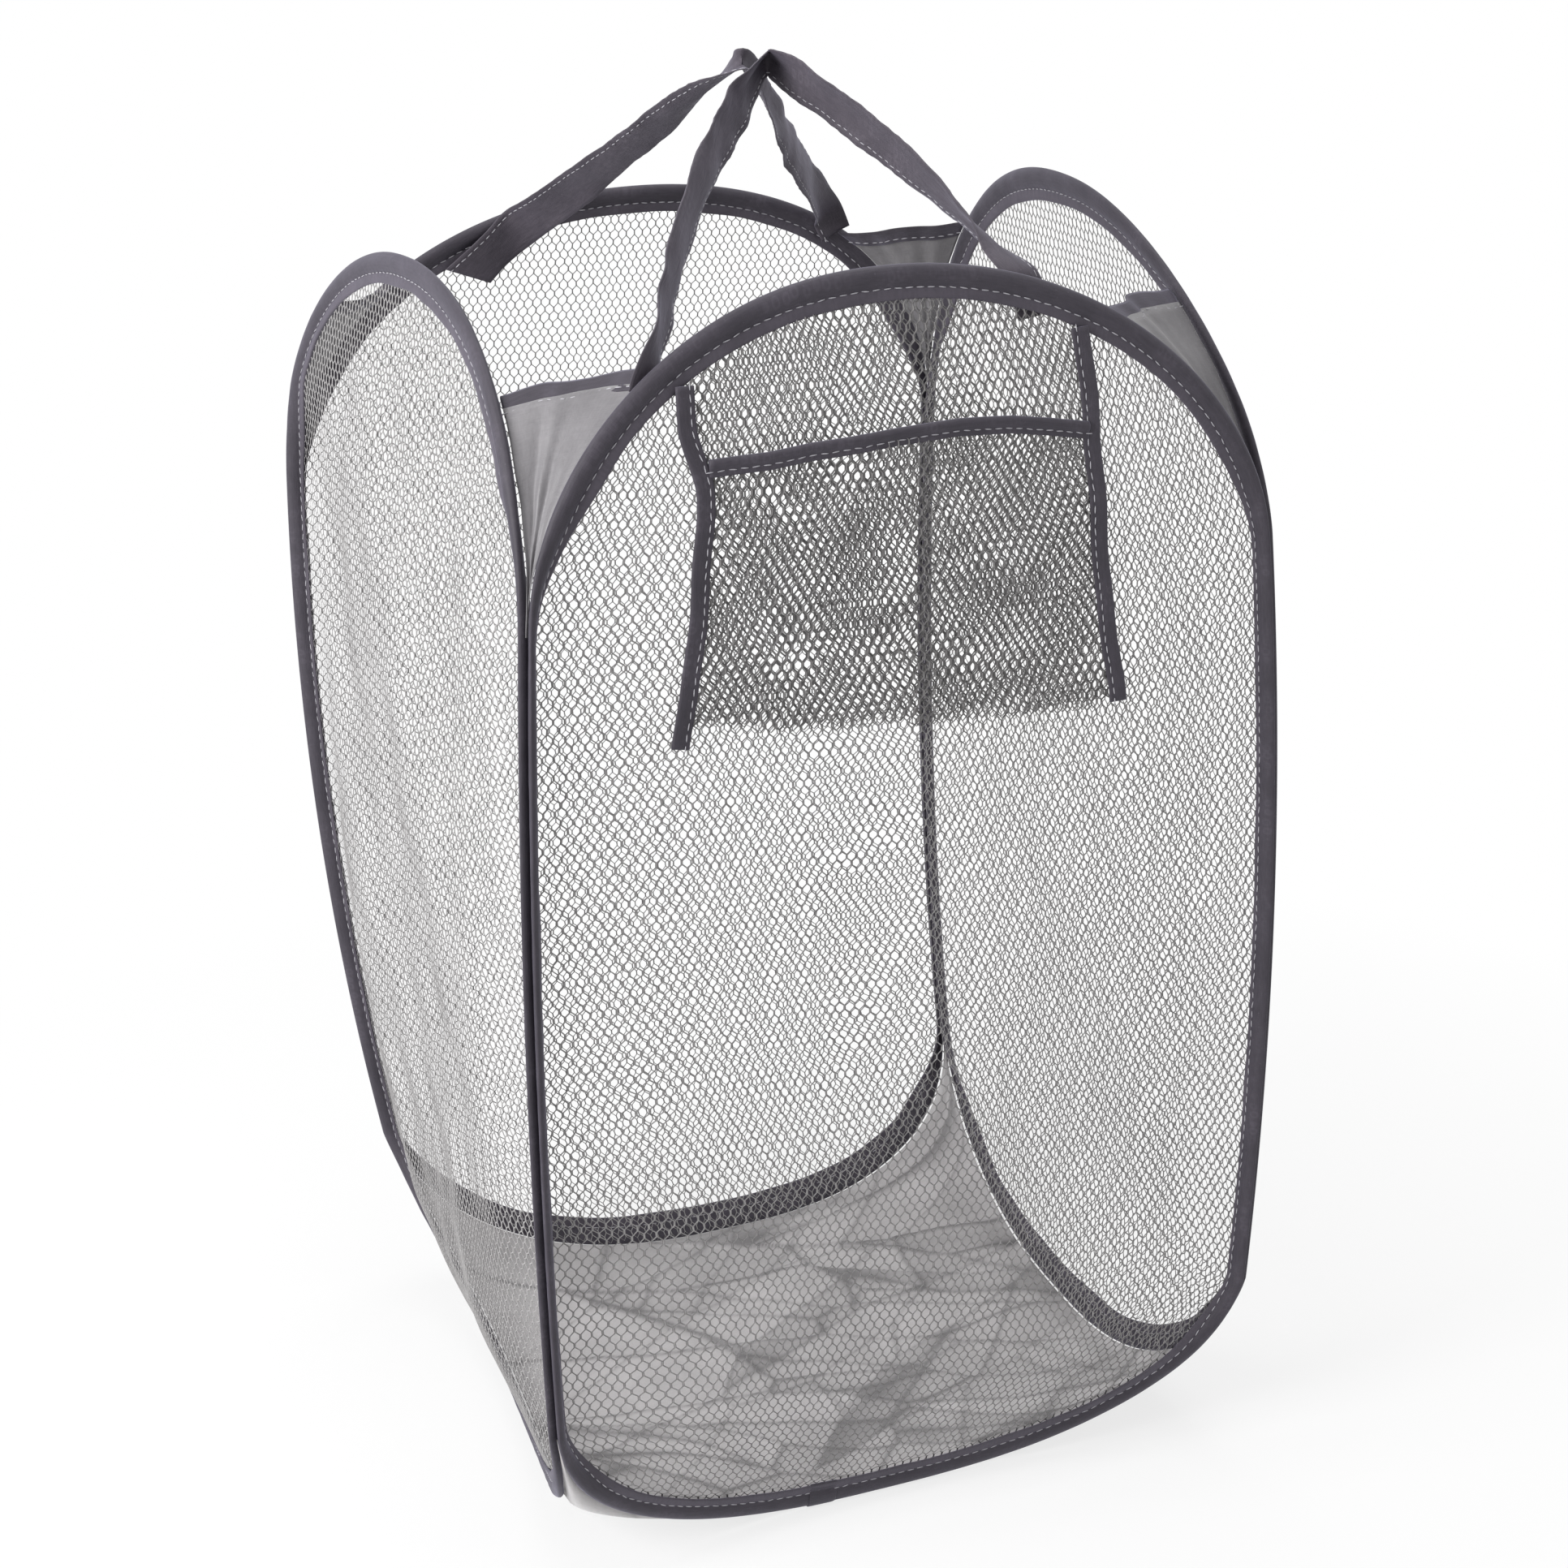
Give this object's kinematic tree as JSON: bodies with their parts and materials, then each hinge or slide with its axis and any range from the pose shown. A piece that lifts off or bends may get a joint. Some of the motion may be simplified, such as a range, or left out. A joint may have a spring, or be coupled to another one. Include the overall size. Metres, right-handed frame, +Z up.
{
  "type": "pop up laundry hamper",
  "caption": "Folding laundry hamper of four sprung hoop panels in hexagonal net, with corner gussets, cloth floor, hanging net pocket and two webbing handles.",
  "frame": {"origin": "middle of the cloth floor's underside, on the surface that the hamper stands on", "axes": "+Z up, the front panel with the pocket faces -Y, +X to the right seen from the front"},
  "size_m": [0.3674, 0.369, 0.6854],
  "materials": {
    "slate_tape": "matt",
    "slate_webbing": "matt",
    "grey_net": "matt",
    "pocket_net": "matt",
    "grey_cloth": "satin",
    "spring_wire": "satin"
  },
  "bodies": {
    "front_panel": {"front_edge_binding": "slate_tape", "front_wire_hoop": "spring_wire", "front_wire_ferrule": "spring_wire", "front_net": "grey_net", "front_binding_lap": "slate_tape", "pocket_back_net": "pocket_net", "pocket_front_net": "pocket_net", "pocket_mouth_tape": "slate_tape", "pocket_left_tape": "slate_tape", "pocket_right_tape": "slate_tape", "front_handle_left_tab": "slate_webbing", "front_handle_right_tab": "slate_webbing", "front_left_gusset": "grey_cloth", "front_left_gusset_hem": "slate_tape", "front_right_gusset": "grey_cloth", "front_right_gusset_hem": "slate_tape", "floor_cloth": "grey_cloth"},
    "left_panel": {"left_edge_binding": "slate_tape", "left_wire_hoop": "spring_wire", "left_wire_ferrule": "spring_wire", "left_net": "grey_net"},
    "right_panel": {"right_edge_binding": "slate_tape", "right_wire_hoop": "spring_wire", "right_wire_ferrule": "spring_wire", "right_net": "grey_net"},
    "back_panel": {"back_edge_binding": "slate_tape", "back_wire_hoop": "spring_wire", "back_wire_ferrule": "spring_wire", "back_net": "grey_net", "back_handle_left_tab": "slate_webbing", "back_handle_right_tab": "slate_webbing", "back_right_gusset": "grey_cloth", "back_right_gusset_hem": "slate_tape", "back_left_gusset": "grey_cloth", "back_left_gusset_hem": "slate_tape"},
    "front_handle": {"front_handle_strap": "slate_webbing"},
    "back_handle": {"back_handle_strap": "slate_webbing"}
  },
  "joints": [
    {"name": "left_fold", "type": "hinge", "parent": "front_panel", "child": "left_panel", "pos_m": [-0.178, -0.172, 0], "axis": [0, 0, -1], "range_deg": [-84, 84], "deforming": ["floor_cloth", "front_left_gusset", "front_left_gusset_hem", "back_left_gusset", "back_left_gusset_hem"]},
    {"name": "right_fold", "type": "hinge", "parent": "front_panel", "child": "right_panel", "pos_m": [0.178, -0.172, 0], "axis": [0, 0, -1], "range_deg": [-84, 84], "deforming": ["floor_cloth", "front_right_gusset", "front_right_gusset_hem"]},
    {"name": "back_fold", "type": "hinge", "parent": "right_panel", "child": "back_panel", "pos_m": [0.178, 0.172, 0], "axis": [0, 0, -1], "range_deg": [-84, 84], "deforming": ["floor_cloth", "back_right_gusset", "back_right_gusset_hem", "back_left_gusset", "back_left_gusset_hem"]},
    {"name": "front_handle_swing", "type": "hinge", "parent": "front_panel", "child": "front_handle", "pos_m": [-0.112, -0.1711, 0.59511], "axis": [0.998, 0, 0.0639], "range_deg": [0, 180]},
    {"name": "back_handle_swing", "type": "hinge", "parent": "back_panel", "child": "back_handle", "pos_m": [0.115, 0.1711, 0.59376], "axis": [-0.998, 0, 0.0639], "range_deg": [0, 180]}
  ],
  "couplings": [
    {"joint": "right_fold", "follows": "left_fold", "ratio": 1},
    {"joint": "back_fold", "follows": "left_fold", "ratio": -1}
  ]
}
